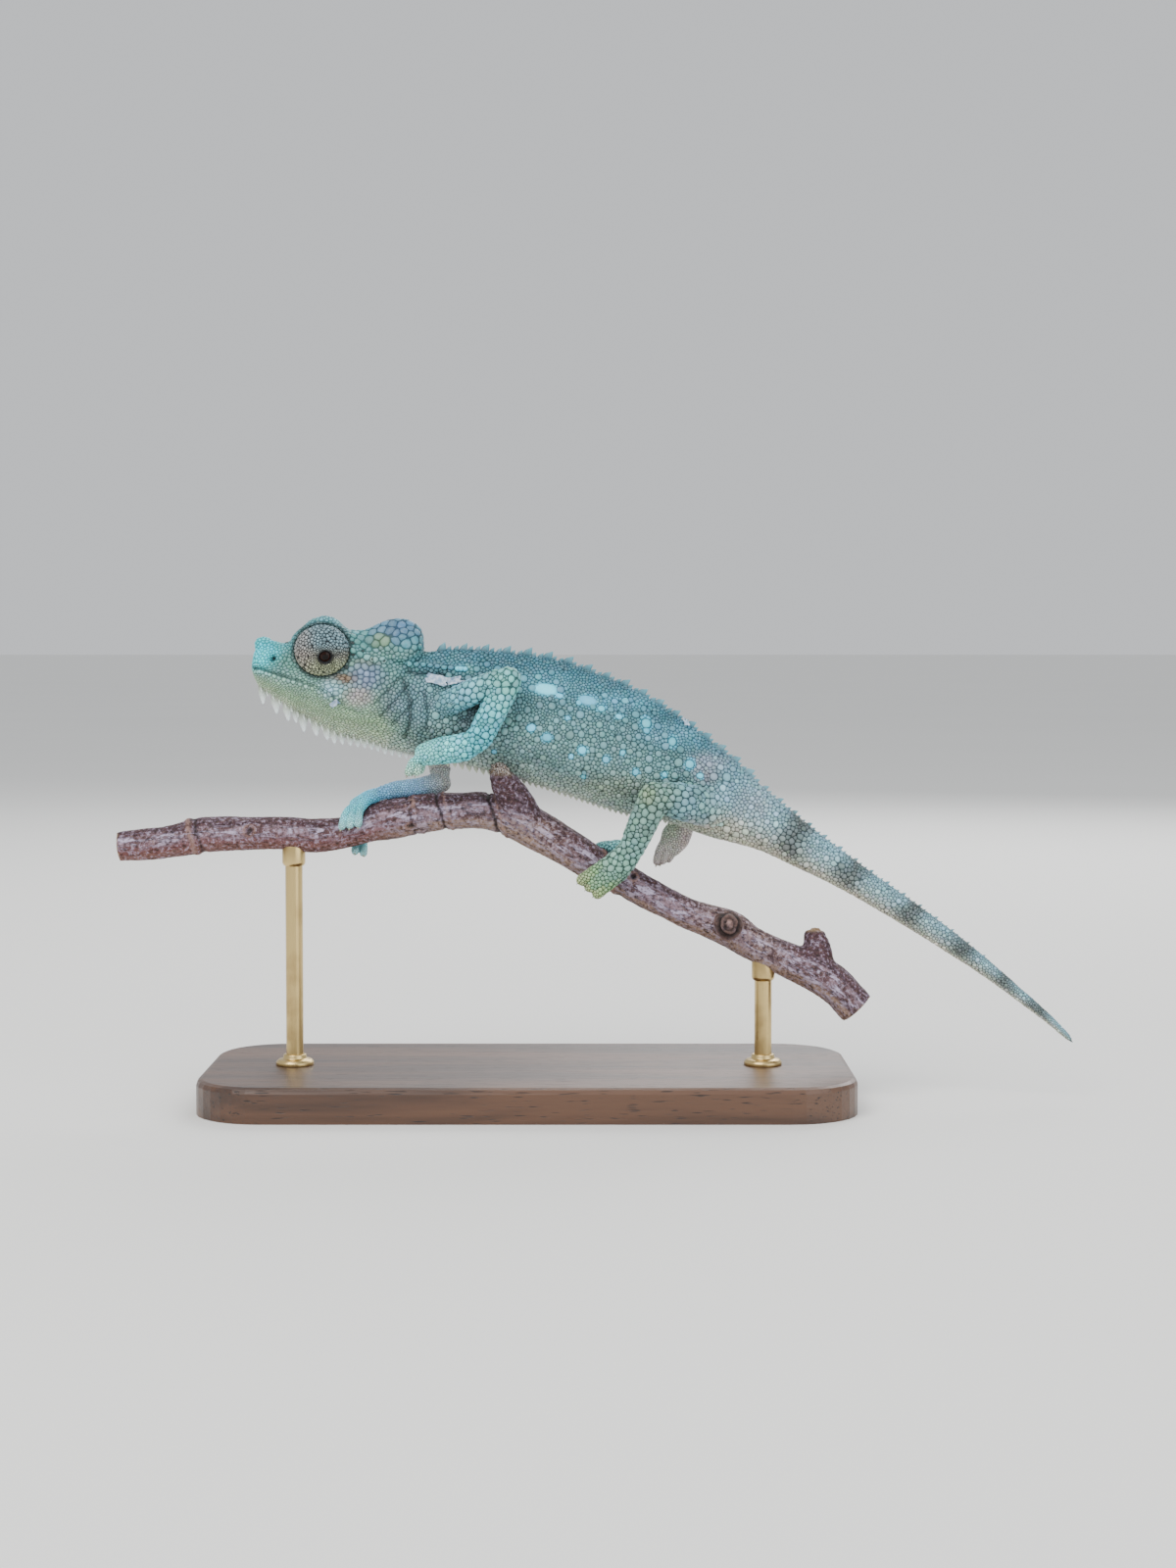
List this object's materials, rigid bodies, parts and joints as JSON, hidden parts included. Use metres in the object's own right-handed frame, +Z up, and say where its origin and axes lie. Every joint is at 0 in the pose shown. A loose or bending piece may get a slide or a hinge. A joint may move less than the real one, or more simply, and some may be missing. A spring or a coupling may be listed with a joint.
{
  "type": "high-casqued chameleon on a perch",
  "caption": "Life-size still model of a high-casqued chameleon, mid step on a cut branch held over a flat base by upright rods.",
  "frame": {"origin": "on the floor, under the middle of the model's whole box", "axes": "+X from the snout towards the tail tip, -Y to the animal's left side, +Z up"},
  "size_m": [0.1671, 0.05, 0.084],
  "materials": {
    "skin": "fine dry scales, matte with a slight sheen",
    "eye": "fine granular lid with a small glossy opening",
    "bark": "rough flaking bark",
    "base_wood": "dark stained, satin",
    "rod_brass": "brushed"
  },
  "bodies": {
    "root": {"head": "skin", "neck": "skin", "torso": "skin", "tail_base": "skin", "tail_middle": "skin", "tail_tip": "skin", "eye_left": "eye", "eye_right": "eye", "upper_arm_left": "skin", "forearm_left": "skin", "hand_left": "skin", "upper_arm_right": "skin", "forearm_right": "skin", "hand_right": "skin", "thigh_left": "skin", "shin_left": "skin", "foot_left": "skin", "thigh_right": "skin", "shin_right": "skin", "foot_right": "skin", "perch": "bark", "stand_base": "base_wood", "stand_rod_front": "rod_brass", "stand_rod_rear": "rod_brass"}
  },
  "joints": []
}
